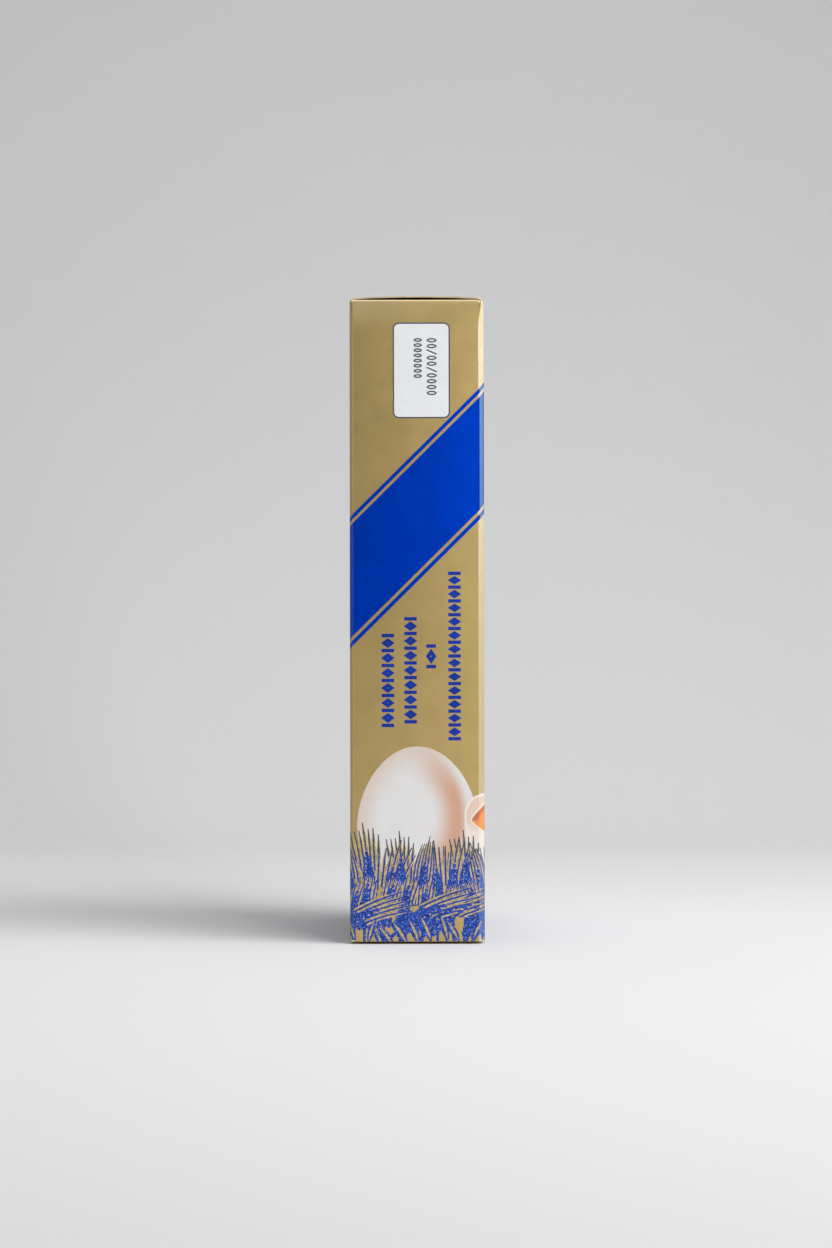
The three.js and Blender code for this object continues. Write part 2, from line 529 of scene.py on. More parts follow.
def finishMaterial(name, look, shading=None):
    # ink whose colour, gloss and relief vary, paler on the creases (worn ink and a painted highlight
    # together) and rubbed through at the corners;
    # shading is a function that gives a pattern of the material's own in place of its two plain colours
    material, tree, shader = newMaterial(name)
    place = addNode(tree, "TexCoord", {})
    colour, deep = shading(tree, place) if shading else (look["colour"], look["deep"])
    ink = addNode(tree, "Group", {
        "Place": place["Object"],
        "Colour": colour,
        "Deep Colour": deep,
        "Blotch Scale": look["blotch"],
        "Grain Scale": look["grain"],
        "Low": look["range"][0],
        "High": look["range"][1],
        "Roughness": look["roughness"],
    }, node_tree=inkGrain)
    folds = {"Place": place["Object"], "Hinge Crease": look["paleCrease"]}
    wearAndSheen = addNode(tree, "Group", folds, node_tree=foldWearAndSheen)
    # the creases' paleness: worn ink and a painted highlight together
    creaseWearAndSheen = product(tree, wearAndSheen["Crease"], look["creaseShare"])
    creased = addColourMix(tree, creaseWearAndSheen, ink["Colour"], look["creaseColour"])
    relief = {"Strength": 0.3, "Distance": look["grainDepth"] * mm, "Height": ink["Height"]}
    fill(tree, shader, {
        "Base Color": addColourMix(tree, wearAndSheen["Rub"], creased, rawColour),
        "Roughness": ink["Roughness"],
        "Normal": addNode(tree, "Bump", relief)["Normal"],
    })
    if look["metallic"] > 0:
        # less metal where rubbed bare and on the pale creases, worn and painted highlight alike
        wornAndSheen = addMath(tree, "MAXIMUM", wearAndSheen["Rub"], creaseWearAndSheen)
        metal = addMath(tree, "MULTIPLY_ADD", wornAndSheen, -look["metallic"], look["metallic"])
        fill(tree, shader, {"Metallic": metal})
    return material


goldLook = dict(
    inkLook,
    colour=srgb(206, 179, 118),
    deep=srgb(200, 173, 112),
    metallic=0.95,
    roughness=0.34,
    grainDepth=0.02,
    # the pale crease colour is worn ink and a painted highlight together
    creaseColour=srgb(244, 232, 200),
    creaseShare=0.84,
)
cutLook = dict(
    inkLook,
    colour=srgb(222, 208, 176),
    deep=srgb(176, 158, 124),
    roughness=0.9,
    blotch=400.0,
    grain=3000.0,
    grainDepth=0.08,
)
# painted shade: the flaps' inner face is far darker than board, as if in shadow
innerLookPaintedShade = dict(cutLook, colour=srgb(46, 40, 32), deep=srgb(32, 28, 22))

goldBoard = finishMaterial("goldBoard", goldLook)
cutBoard = finishMaterial("cutBoard", cutLook)
innerBoardPaintedShade = finishMaterial("innerBoardPaintedShade", innerLookPaintedShade)
print("materials: goldBoard, cutBoard, innerBoardPaintedShade")


def foldRings(radius, steps):
    # (distance from the fold, how far the wall has drawn in) over a quarter round
    rings = []
    for step in range(steps + 1):
        angle = step / steps * math.pi / 2
        rings.append((radius * (1 - math.cos(angle)), radius * (1 - math.sin(angle))))
    return rings


def makeSleeve():
    bottom, top = sheet["bottomFold"], sheet["topFold"]
    low = foldRings(sheet["bottomRadius"], sheet["foldSteps"])
    high = foldRings(sheet["topRadius"], sheet["foldSteps"])
    levels = [(bottom + rise, draw, draw, 0.0) for rise, draw in low]
    levels += [(height, 0.0, 0.0, 0.0) for height in levelsAt]
    levels += [(top - rise, draw, draw * sheet["hingeDraw"], -halfWidth) for rise, draw in reversed(high)]

    bpy.ops.mesh.primitive_circle_add(vertices=len(stations), fill_type="NGON")
    sleeve = named(bpy.context.object, "cartonSleeve")
    for vertex, place in zip(sleeve.data.vertices, stations):
        vertex.co = (place.x, place.y, levels[0][0])
    intoEdit(sleeve)
    before = (levels[0][0], 0.0, 0.0)      # height, draw in Y, draw in X of the ring before
    for height, drawY, drawX, pivotX in levels:
        if height > before[0]:
            bpy.ops.mesh.extrude_region_move(TRANSFORM_OT_translate={"value": (0, 0, height - before[0])})
        spanX = halfWidth if pivotX == 0.0 else 2 * halfWidth
        growX = (spanX - drawX) / (spanX - before[2])
        growY = (halfDepth - drawY) / (halfDepth - before[1])
        if (growX, growY) != (1.0, 1.0):
            bpy.ops.transform.resize(value=(growX, growY, 1), center_override=(pivotX, 0, height))
        before = (height, drawY, drawX)
    edgeX = -halfWidth + sheet["board"]      # the -X panel's own cut edge, on top
    bpy.ops.mesh.bisect(plane_co=(edgeX, 0, 0), plane_no=(1, 0, 0), threshold=1e-7)
    bpy.ops.mesh.select_all(action="SELECT")
    bpy.ops.mesh.normals_make_consistent(inside=False)
    outOfEdit()

    sleeve.data.materials.append(goldBoard)
    sleeve.data.materials.append(cutBoard)
    seamY = halfDepth - sheet["seamSetback"]
    for face in sleeve.data.polygons:      # the -X panel's cut edges, on top and at the seam, are bare
        at, normal = face.center, face.normal
        atSeam = abs(at.y - seamY) < 10 * tolerance and normal.y > 0.9
        if at.x < edgeX and (normal.z > 0.9 or atSeam):
            face.material_index = 1
    swell(sleeve)
    smooth(sleeve, sheet["smoothing"])
    return sleeve


sleeve = makeSleeve()
print("sleeve:", len(sleeve.data.polygons), "faces")


topFlap = {
    "board": 0.55 * mm,
    "rise": 0.84 * mm,          # a little too wide for the carton, so it bows up
    "flatness": 0.6,            # below 1, the bow is flatter in the middle than a cosine
    "halfSpan": 24.4 * mm,
    "setback": 1.0 * mm,
    "tuckClearance": 0.1 * mm,
    "hingeRadius": 1.5 * mm,
    "tuckRadius": 0.5 * mm,
    "tuckDepth": 6 * mm,
    "archSteps": 24,
    "cornerCut": 1.6 * mm,
}

bottomFlap = {
    "board": sheet["board"],
    "setback": 9 * mm,
    "freeEdge": 1.0 * mm,
    "hingeRadius": 0.9 * mm,
    "cornerCut": 1.6 * mm,
}

flapSmoothing = 35      # degrees


def arc(centreX, centreZ, radius, fromDegrees, toDegrees, steps=6):
    points = []
    for step in range(steps + 1):
        angle = math.radians(fromDegrees + (toDegrees - fromDegrees) * step / steps)
        points.append((centreX + radius * math.cos(angle), centreZ + radius * math.sin(angle)))
    return points


def topFlapPath():
    # the flap's outer face in X and Z, from its hinge over the bow to the end of the tuck
    flat = sheet["topFold"] + topFlap["board"]
    radius, tuckRadius = topFlap["hingeRadius"], topFlap["tuckRadius"]
    tuckX = -halfWidth + sheet["board"] + topFlap["tuckClearance"]
    path = [(halfWidth, sheet["topFold"] - sheet["topRadius"])]
    path += arc(halfWidth - radius, flat - radius, radius, 0, 90)
    for step in range(topFlap["archSteps"] + 1):
        share = math.sin(math.pi / 2 * (1 - 2 * step / topFlap["archSteps"]))
        height = topFlap["rise"] * math.cos(share * math.pi / 2) ** topFlap["flatness"]
        path.append((share * topFlap["halfSpan"], flat + height))
    path += arc(tuckX + tuckRadius, flat - tuckRadius, tuckRadius, 90, 180, steps=4)
    path.append((tuckX, sheet["topFold"] - topFlap["tuckDepth"]))
    return path


def bottomFlapPath():
    radius = bottomFlap["hingeRadius"]
    freeX = -halfWidth + bottomFlap["freeEdge"]
    path = [(halfWidth, sheet["bottomFold"] + sheet["bottomRadius"])]
    path += arc(halfWidth - radius, radius, radius, 0, -90)
    path += [(0.0, 0.0), (freeX, 0.0)]
    return path


def drawOut(name, corners, steps):
    # a plane on four corners, drawn on from the edge between the last two, one step after another
    bpy.ops.mesh.primitive_plane_add(size=1, location=(0, 0, 0))
    piece = named(bpy.context.object, name)
    for vertex, place in zip(piece.data.vertices, corners):
        vertex.co = place
        vertex.select = place in corners[2:]
    for edge in piece.data.edges:
        edge.select = all(piece.data.vertices[index].select for index in edge.vertices)
    for face in piece.data.polygons:
        face.select = False
    only(piece)
    bpy.ops.object.mode_set(mode="EDIT")
    for step in steps:
        bpy.ops.mesh.extrude_edges_move(TRANSFORM_OT_translate={"value": step})
    outOfEdit()
    return piece


def makeFlap(name, path, flap, upwards):
    # a strip drawn out along its path, whose hinge has its corners cut back, clear of the creases
    halfLength = halfDepth - flap["setback"]
    corners = [(x, y, z) for x, z in path[:2] for y in (-halfLength, halfLength)]
    steps = [(there[0] - here[0], 0, there[1] - here[1]) for here, there in zip(path[1:], path[2:])]
    piece = drawOut(name, corners, steps)
    for side in (-1, 1):
        across = Vector((halfWidth, side * (halfLength - flap["cornerCut"]), 0))
        cutAcross(piece, [across], Vector((1, side, 0)).normalized(), clearOuter=True)
    cutAcross(piece, [(0, place, 0) for place in (-halfLength / 2, 0, halfLength / 2)], (0, 1, 0))
    intoEdit(piece)
    bpy.ops.mesh.normals_make_consistent(inside=False)
    outOfEdit()
    middle = min(piece.data.polygons, key=lambda face: face.center.xy.length)
    if (middle.normal.z > 0) != upwards:
        intoEdit(piece)
        bpy.ops.mesh.flip_normals()
        outOfEdit()
    for material in (goldBoard, cutBoard, innerBoardPaintedShade):
        piece.data.materials.append(material)
    thick = piece.modifiers.new("board", "SOLIDIFY")
    thick.thickness = flap["board"]
    thick.offset = -1
    thick.use_even_offset = True
    # the inner face takes the darkened board, painted shade
    thick.material_offset = 2
    thick.material_offset_rim = 1
    applyModifiers(piece)
    smooth(piece, flapSmoothing)
    return piece


topPiece = makeFlap("topFlap", topFlapPath(), topFlap, upwards=True)
bottomPiece = makeFlap("bottomFlap", bottomFlapPath(), bottomFlap, upwards=False)
print("flaps:", len(topPiece.data.polygons), "and", len(bottomPiece.data.polygons), "faces")


# print is drawn flat, X round the girth and Y up the carton, and then wrapped round it

def drawRectangle(name, left, bottom, right, top):
    bpy.ops.mesh.primitive_plane_add(size=1, location=((left + right) / 2, (bottom + top) / 2, 0))
    piece = named(bpy.context.object, name)
    piece.scale = (right - left, top - bottom, 1)
    settle(piece)
    return piece


def drawOval(vertices, reach, rise, x=0.0, y=0.0):
    bpy.ops.mesh.primitive_circle_add(vertices=vertices, radius=1, fill_type="NGON", location=(x, y, 0))
    oval = bpy.context.object
    oval.scale = (reach, rise, 1)
    settle(oval)
    return oval


def gridCut(piece, levels=True):
    # new edges where the sleeve has its own, so that the print bends with the board;
    # small shapes only need them at the creases
    places = [vertex.co for vertex in piece.data.vertices]
    left, right = min(place.x for place in places), max(place.x for place in places)
    low, high = min(place.y for place in places), max(place.y for place in places)
    columns = [at for at in (stationAt if levels else creaseAt) if left < at < right]
    cutAcross(piece, [(at, 0, 0) for at in columns], (1, 0, 0))
    if levels:
        cutAcross(piece, [(0, at, 0) for at in levelsAt if low < at < high], (0, 1, 0))


def thicken(piece, lift):
    film = piece.modifiers.new("film", "SOLIDIFY")
    film.thickness = filmThickness
    film.offset = 1
    applyModifiers(piece)
    piece.location = (0, 0, lift)
    settle(piece)


def wrapRound(piece):
    piece.rotation_euler = (math.pi / 2, 0, 0)
    settle(piece)
    wrap = piece.modifiers.new("wrap", "CURVE")
    wrap.object = girthCurve
    wrap.deform_axis = "POS_X"
    piece.modifiers.new("swell", "LATTICE").object = swellCage
    applyModifiers(piece)
    smooth(piece, sheet["smoothing"])


def finishPrint(piece, material, lift, levels=True):
    gridCut(piece, levels)
    thicken(piece, lift)
    wrapRound(piece)
    piece.data.materials.clear()
    piece.data.materials.append(material)
    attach(piece, "root")
    print("print:", piece.name, len(piece.data.polygons), "faces")
    return piece


ribbon = {
    "slope": 0.99,
    # heights at the middle of a narrow panel: lowest and highest of each stripe
    "stripes": [(140.5 * mm, 142.6 * mm), (144.2 * mm, 188.1 * mm), (189.55 * mm, 191.55 * mm)],
    "bottom": 1.05 * mm,
    "top": 249.6 * mm,
    "lift": 0.01 * mm,
}

blueLook = dict(
    inkLook,
    colour=srgb(2, 70, 214),
    deep=srgb(2, 67, 209),
    metallic=1.0,
    roughness=0.34,
    grainDepth=0.015,
    # the pale crease colour is worn ink and a painted highlight together
    creaseColour=srgb(116, 150, 200),
    creaseShare=0.85,
    paleCrease=1.75 * mm,
)
blueInk = finishMaterial("blueInk", blueLook)


def drawStripe(centre, left, right, low, high):
    # a slanting stripe, cut from a rectangle by its two edges
    stripe = drawRectangle("stripe", left, ribbon["bottom"], right, ribbon["top"])
    square = Vector((-ribbon["slope"], 1, 0)).normalized()
    cutAcross(stripe, [(centre, high, 0)], square, clearOuter=True)
    cutAcross(stripe, [(centre, low, 0)], square, clearInner=True)
    return stripe


def makeRibbon():
    stripes = []
    ways = [      # the middle of the narrow panel, and where the stripes start and stop
        (frontAt, 0.0, girthLength),
        (backAt, rightPanelAt, girthLength),
        (backAt - girthLength, 0.0, frontAt),
    ]
    for centre, left, right in ways:
        for low, high in ribbon["stripes"]:
            stripes.append(drawStripe(centre, left, right, low, high))
    return finishPrint(joinAll(stripes, "blueRibbon"), blueInk, ribbon["lift"])


makeRibbon()


# the bare patch for the date, and its placeholder marks

patch = {
    "left": -9.25 * mm, "right": 12.95 * mm,
    "bottom": 204.0 * mm, "top": 241.2 * mm,
    "corner": 2.4 * mm,
    "outline": 0.55 * mm,
    "lift": 0.01 * mm,
    "outlineLift": 0.014 * mm,
}

patchLook = dict(
    inkLook,
    colour=srgb(230, 231, 232),
    deep=srgb(224, 225, 227),
    blotch=90.0,
    grain=1200.0,
)
outlineLook = dict(
    inkLook,
    colour=srgb(78, 84, 100),
    deep=srgb(62, 66, 84),
    blotch=200.0,
    grain=1500.0,
)
whitePatch = finishMaterial("whitePatch", patchLook)
outlineInk = finishMaterial("outlineInk", outlineLook)


def drawRoundRectangle(name, left, bottom, right, top, corner):
    piece = drawRectangle(name, left, bottom, right, top)
    intoEdit(piece)
    bpy.ops.mesh.bevel(offset=corner, offset_type="OFFSET", segments=8, affect="VERTICES")
    outOfEdit()
    return piece


def ringOnly(piece, width):
    # keeps a band of that width inside the piece's edge
    intoEdit(piece)
    bpy.ops.mesh.inset(thickness=width)
    bpy.ops.mesh.delete(type="FACE")
    outOfEdit()
    return piece


def makePatches():
    patches, outlines = [], []
    for centre in (frontAt, backAt):
        places = (centre + patch["left"], patch["bottom"], centre + patch["right"], patch["top"])
        patches.append(drawRoundRectangle("patch", *places, patch["corner"]))
        outlines.append(ringOnly(drawRoundRectangle("outline", *places, patch["corner"]), patch["outline"]))
    finishPrint(joinAll(patches, "datePatch"), whitePatch, patch["lift"])
    outline = joinAll(outlines, "datePatchOutline")
    finishPrint(outline, outlineInk, patch["outlineLift"])


makePatches()

codeRows = [      # plain noughts and slashes, read down the carton
    {"left": 3.9 * mm, "right": 7.8 * mm, "top": 235.4 * mm, "pitch": 2.27 * mm, "marks": "00/00/0000"},
    {"left": -1.2 * mm, "right": 2.1 * mm, "top": 235.4 * mm, "pitch": 2.0 * mm, "marks": "00000000"},
]
codeMark = {
    "share": 0.76,             # of its pitch
    "stroke": 0.54 * mm,
    "slant": 24,
    "slashShare": 0.56,        # half a slash's length, as a share of the row's width
    "lift": 0.018 * mm,
}

codeLook = dict(
    inkLook,
    colour=srgb(46, 54, 60),
    deep=srgb(80, 88, 92),
    roughness=0.6,
    blotch=900.0,
    grain=3200.0,
)
codeInk = finishMaterial("codeInk", codeLook)


def makeCodeMarks():
    marks = []
    for centre in (frontAt, backAt):
        for row in codeRows:
            middle = centre + (row["left"] + row["right"]) / 2
            across = row["right"] - row["left"]
            for index, mark in enumerate(row["marks"]):
                y = row["top"] - row["pitch"] * (index + 0.5)
                if mark == "0":
                    nought = drawOval(20, across / 2, row["pitch"] * codeMark["share"] / 2, middle, y)
                    marks.append(ringOnly(nought, codeMark["stroke"]))
                else:
                    half, stroke = across * codeMark["slashShare"], codeMark["stroke"] / 2
                    slash = drawRectangle("slash", -half, -stroke, half, stroke)
                    slash.rotation_euler = (0, 0, -math.radians(codeMark["slant"]))
                    slash.location = (middle, y, 0)
                    marks.append(slash)
    finishPrint(joinAll(marks, "codeMarks"), codeInk, codeMark["lift"])


makeCodeMarks()

# rows of lozenges and bars stand where the lettering would be

ornament = {
    "columns": [      # left, right, top and bottom, from the narrow panel's middle
        (11.9 * mm, 17.2 * mm, 144.5 * mm, 79.0 * mm),
        (3.4 * mm, 7.5 * mm, 116.3 * mm, 107.0 * mm),
        (-5.2 * mm, 0.1 * mm, 126.9 * mm, 85.6 * mm),
        (-14.0 * mm, -8.7 * mm, 120.4 * mm, 84.2 * mm),
    ],
    "lozenge": 3.6 * mm,
    "bar": 1.35 * mm,
    "barShare": 0.46,      # half a bar's length, as a share of the column's width
    "gap": 0.3 * mm,
    "stroke": 1.45 * mm,
    "lift": 0.01 * mm,
}

ornamentLook = dict(blueLook, colour=srgb(0, 58, 178), deep=srgb(0, 48, 150), metallic=0.5)
ornamentInk = finishMaterial("ornamentInk", ornamentLook)


def makeOrnament():
    shapes = []
    bar, gap = ornament["bar"], ornament["gap"]
    for centre in (frontAt, backAt):
        for left, right, top, bottom in ornament["columns"]:
            width, middle = right - left, centre + (left + right) / 2
            half = width * ornament["barShare"]
            count = max(1, round((top - bottom - bar) / (ornament["lozenge"] + bar + 2 * gap)))
            period = (top - bottom - bar) / count
            for index in range(count + 1):
                y = top - bar / 2 - period * index
                shapes.append(drawRectangle("bar", middle - half, y - bar / 2, middle + half, y + bar / 2))
                if index < count:
                    lozenge = drawOval(4, width / 2, (period - bar - 2 * gap) / 2, middle, y - period / 2)
                    shapes.append(ringOnly(lozenge, ornament["stroke"]))
    finishPrint(joinAll(shapes, "ornamentColumns"), ornamentInk, ornament["lift"], levels=False)


makeOrnament()

# an egg and an open half shell, four times round the carton

eggFigure = {
    "repeats": 4,
    "x": 0.1 * mm,        # from the middle of the narrow panel
    "middle": 47 * mm,
    "reach": 23.5 * mm,
    "up": 29.7 * mm,
    "down": 29.7 * mm,
    "taper": 0.08,
    "cut": 29 * mm,       # its foot is behind the wheat
    "lift": 0.018 * mm,
}
shellFigure = {
    "x": 26.0 * mm,
    "middle": 50 * mm,
    "reach": 7.7 * mm,
    "reachRight": 16 * mm,
    "up": 8.3 * mm,
    "down": 19 * mm,
    "lift": 0.026 * mm,
}
openingFigure = {
    "x": 31.2 * mm,
    "middle": 48.3 * mm,
    "reach": 10.8 * mm,
    "up": 8.7 * mm,
    "down": 6.6 * mm,
    "point": 0.28,        # how far its left end is drawn out to a point
    "lift": 0.031 * mm,
}
yolkFigure = {
    "x": 31.0 * mm,
    "middle": 48.1 * mm,
    "reach": 9.95 * mm,
    "up": 8.0 * mm,
    "down": 6.0 * mm,
    "point": 0.34,
    "lift": 0.036 * mm,
}

eggLook = dict(
    inkLook,
    colour=srgb(222, 222, 221),
    deep=srgb(216, 214, 210),
    roughness=0.55,
    blotch=120.0,
    grain=1600.0,
)
shellLook = dict(eggLook, colour=srgb(232, 224, 216), deep=srgb(226, 200, 184))
liningLook = dict(eggLook, colour=srgb(240, 226, 210), deep=srgb(236, 216, 198))
yolkLook = dict(eggLook, colour=srgb(240, 156, 94), deep=srgb(232, 144, 82))

eggShade = {      # places are in the figure's own unit circle; a pair is where a ramp starts and ends
    "from": (-0.15, 0.08),
    "shadow": 0.826,                 # how far from there its shadow lies
    "inner": 0.44,                   # how wide the shadow is on either side
    "outer": 0.24,
    "core": 0.03,
    "shadowUp": (1.15, 0.35),
    "shadowAcross": (-0.3, 0.35),
    "rimReach": (0.6, 1.02),
    "rimAcross": (0.8, 0.2),
    "rimShare": 0.9,
    "deepShare": 0.1,                # how much warmer the ink is in its deeper blotches
    "white": srgb(222, 223, 223),
    "peach": srgb(206, 160, 131),
    "rim": srgb(213, 198, 186),
}
shellShade = {
    "upper": (-0.25, 0.2),
    "rimReach": (0.9, 0.96),
    "rim": srgb(240, 232, 224),
}
yolkShade = {
    "edge": (0.6, 0.85),
    "upper": (-0.3, 0.05),
    "dark": srgb(192, 112, 74),
}


def unitCircle(tree, place):
    # the figure's own UV, from -1 to 1 each way, its parts, and the distance from its middle
    values = {"Location": (-1, -1, 0), "Scale": (2, 2, 1), "Vector": place["UV"]}
    circle = addNode(tree, "Mapping", values)["Vector"]
    reach = addNode(tree, "VectorMath", {0: circle}, operation="LENGTH")["Value"]
    return circle, partsOf(tree, circle), reach


def inkOver(tree, look, share, colour):
    # another colour over a share of both of a look's own
    return [addColourMix(tree, share, own, colour) for own in (look["colour"], look["deep"])]


def warmInk(tree, colour):
    # a shaded colour, and a little warmer in the deeper blotches
    return colour, addColourMix(tree, eggShade["deepShare"], colour, eggShade["peach"])


def eggShading(tree, place):
    # a soft warm shadow down one side, with a paler rim beyond it
    circle, parts, reach = unitCircle(tree, place)
    values = {0: circle, 1: (*eggShade["from"], 0)}
    distance = addNode(tree, "VectorMath", values, operation="DISTANCE")["Value"]
    peak = eggShade["shadow"]
    shadow = product(
        tree,
        addRamp(tree, distance, peak - eggShade["inner"], peak),
        addRamp(tree, distance, peak + eggShade["outer"], peak + eggShade["core"]),
        addRamp(tree, parts["Y"], *eggShade["shadowUp"]),
        addRamp(tree, parts["X"], *eggShade["shadowAcross"]),
    )
    nearRim = product(
        tree,
        addRamp(tree, reach, *eggShade["rimReach"]),
        eggShade["rimShare"],
        addRamp(tree, parts["X"], *eggShade["rimAcross"]),
    )
    rimmed = addColourMix(tree, nearRim, eggShade["white"], eggShade["rim"])
    return warmInk(tree, addColourMix(tree, shadow, rimmed, eggShade["peach"]))


def shellShading(tree, place):
    # warm above, pale below, with a thin light rim
    parts, reach = unitCircle(tree, place)[1:]
    upper = addRamp(tree, parts["Y"], *shellShade["upper"])
    body = addColourMix(tree, upper, shellLook["colour"], shellLook["deep"])
    rim = addRamp(tree, reach, *shellShade["rimReach"])
    return warmInk(tree, addColourMix(tree, rim, body, shellShade["rim"]))


def yolkShading(tree, place):
    # darker along its upper edge, where it dips under the shell
    parts, reach = unitCircle(tree, place)[1:]
    edge = addRamp(tree, reach, *yolkShade["edge"])
    upper = addRamp(tree, parts["Y"], *yolkShade["upper"])
    return inkOver(tree, yolkLook, product(tree, edge, upper), yolkShade["dark"])


eggPrint = finishMaterial("eggPrint", eggLook, eggShading)
shellPrint = finishMaterial("shellPrint", shellLook, shellShading)
liningPrint = finishMaterial("liningPrint", liningLook)
yolkPrint = finishMaterial("yolkPrint", yolkLook, yolkShading)


def bothEnds(at):
    # a place on the girth, and its second place if the seam is near
    reach = sheet["repeatReach"]
    return [x for x in (at, at - girthLength, at + girthLength) if -reach < x < girthLength + reach]


def withinGirth(piece):
    # nothing is printed past the seam or over the bottom fold
    cutAcross(piece, [(girthLength - sheet["printStop"], 0, 0)], (1, 0, 0), clearOuter=True)
    cutAcross(piece, [(sheet["printStart"], 0, 0)], (1, 0, 0), clearInner=True)
    cutAcross(piece, [(0, ribbon["bottom"], 0)], (0, 1, 0), clearInner=True)
    return piece


def drawFigure(name, figure, at, vertices):
    # an oval whose four sides are shaped on their own: taller, wider, tapered or pointed
    bpy.ops.mesh.primitive_circle_add(vertices=vertices, radius=1, fill_type="NGON")
    oval = named(bpy.context.object, name)
    wider = figure.get("reachRight", figure["reach"]) / figure["reach"]
    for vertex in oval.data.vertices:
        x, y = vertex.co.xy
        height = y * (figure["up"] if y > 0 else figure["down"])
        if x < 0 and "point" in figure:
            height *= max(0.0, 1 + x) ** figure["point"]
        across = x * figure["reach"] * (1 - figure.get("taper", 0) * max(0, y))
        vertex.co = (at + across * (wider if across > 0 else 1), figure["middle"] + height, 0)
    return oval


def makeFigure(name, figure, material, vertices=64):
    starts = [frontAt + figure["x"] + girthLength * index / eggFigure["repeats"]
              for index in range(eggFigure["repeats"])]
    ovals = [drawFigure(name, figure, at, vertices)
             for start in starts for at in bothEnds(start % girthLength)]
    piece = withinGirth(joinAll(ovals, name))
    if "cut" in figure:
        cutAcross(piece, [(0, figure["cut"], 0)], (0, 1, 0), clearInner=True)
    return finishPrint(piece, material, figure["lift"])


makeFigure("eggs", eggFigure, eggPrint, vertices=96)
makeFigure("halfShells", shellFigure, shellPrint)
makeFigure("shellLinings", openingFigure, liningPrint)
makeFigure("yolks", yolkFigure, yolkPrint)

# a border of wheat: rows of upright and leaning ears, drawn once and copied by rule

ear = {
    "body": (2.7 * mm, 9.8 * mm),    # half its width and half its length
    "point": 0.85,                   # how much it narrows to its tip
    "rows": 9,
    "rowGaps": (0.7, 0.9),           # below the first row of grains and above the last, in rows
    "grain": (0.8 * mm, 1.4 * mm),
    "grainShrink": 0.7,              # the grains are this much smaller at the tip
    "grainCurve": 1.7,               # how fully their rows follow the ear's width
    "grainInset": 0.45 * mm,
    "grainTurn": 22,
    "tipGrain": (0.35, 0.7),         # as a share of a grain
    "glint": (0.24 * mm, 0.4 * mm),
    "glintAcross": 0.62,
    "glintUp": 0.9 * mm,
    "awnGap": 1.28 * mm,
    "awnStep": 1.4 * mm,             # how much lower each awn starts than the one nearer the middle
    "awnUneven": 0.14,               # how much shorter the shortest awn is
    "awnCuts": 3,
    "line": 0.68 * mm,
    "backing": 1.95 * mm,
    "backingShare": 0.88,            # of the awn's length
    "backingNarrow": 0.7,
    "stem": (1.1 * mm, 14 * mm),
    "stemTop": 2 * mm,
}
earKinds = {
    # awns: how many, the degrees between neighbours, how far each bends out at its tip, how much it
    # narrows, where the outermost start and how long they are; bow: how far the whole ear bends over
    name: dict(zip(("awns", "spread", "sway", "narrow", "awnFoot", "awnLength", "bow"), values))
    for name, values in {
        "open": (7, 1.4, 0.2, 0.4, 9.5 * mm, 16.5 * mm, 0.8 * mm),
        "wide": (7, 2.8, 0.3, 0.4, 9 * mm, 16 * mm, 1.6 * mm),
        "shut": (7, 1.6, -0.95, 0.5, 9 * mm, 16.5 * mm, 1.4 * mm),
        "leaning": (5, 1.5, 0.3, 0.3, 12 * mm, 16 * mm, 4.2 * mm),
        "low": (5, 1.2, 0.2, 0.5, 11 * mm, 10 * mm, 1.4 * mm),
    }.items()
}
border = {
    "seed": 11,
    "lift": 0.042 * mm,
    "layer": 0.004 * mm,
    "stroke": 0.0006 * mm,      # keeps the strokes of one ear from lying in one plane
    "overlap": 2,               # neighbours lie at this many heights in turn
    "scatter": 0.2,             # how far from its place an ear may stand, as a share of the pitch
    "sizes": (0.92, 1.06),
    # each row's pitch, the height of its feet and its lean in degrees, both with their spread, and the
    # share that lean to the left
    "rows": [
        {
            "kinds": ("open", "wide", "open", "shut"), "pitch": 6.4 * mm, "foot": (14 * mm, 4 * mm),
            "left": 0.5, "lean": (2, 5), "size": 1.0,
        },
        {
            "kinds": ("low",), "pitch": 7.6 * mm, "foot": (4.5 * mm, 3 * mm),
            "left": 0.5, "lean": (8, 8), "size": 0.95,
        },
        {
            "kinds": ("leaning",), "pitch": 18 * mm, "foot": (4 * mm, 3 * mm),
            "left": 0.0, "lean": (42, 8), "size": 1.18,
        },
    ],
}
leaf = {
    "length": 12 * mm,
    "width": 3.0 * mm,
    "fill": 1.0 * mm,
    "fillShare": 0.8,           # of the leaf's length
    "bow": 2.2 * mm,
    "cuts": 7,
    "pitch": 5 * mm,
    "lean": (20, 14),
    "right": 0.5,               # the share that lean to the right
    "scatter": 0.3,
    "foot": (-3, 1),            # lowest and highest, in millimetres
    "sizes": (0.8, 1.1),
}
wheatLook = dict(
    inkLook,
    colour=srgb(24, 86, 200),
    deep=srgb(0, 22, 104),
    range=(0.4, 0.6),
    metallic=0.35,
    blotch=1300.0,
    grain=2600.0,
    grainDepth=0.015,
    # the pale crease colour is worn ink and a painted highlight together
    creaseColour=srgb(140, 170, 222),
    creaseShare=0.5,
)
strawLook = dict(
    inkLook,
    colour=srgb(214, 190, 136),
    deep=srgb(140, 124, 84),
    range=(0.38, 0.62),
    roughness=0.6,
    blotch=700.0,
    grain=2400.0,
)
wheatShade = {
    "tip": srgb(62, 70, 92),
    "tipHeights": (30 * mm, 38 * mm),      # between these the awns turn grey
    "speck": srgb(150, 172, 226),
    "speckScale": 1900.0,
    "speckEdge": (0.6, 0.7),
    "speckShare": 0.7,
}


def wheatShading(tree, place):
    # pale specks in the blue
    noise = addNoise(tree, place["Object"], wheatShade["speckScale"], detail=1)
    specks = addRamp(tree, noise, *wheatShade["speckEdge"])
    share = product(tree, specks, wheatShade["speckShare"])
    return inkOver(tree, wheatLook, share, wheatShade["speck"])


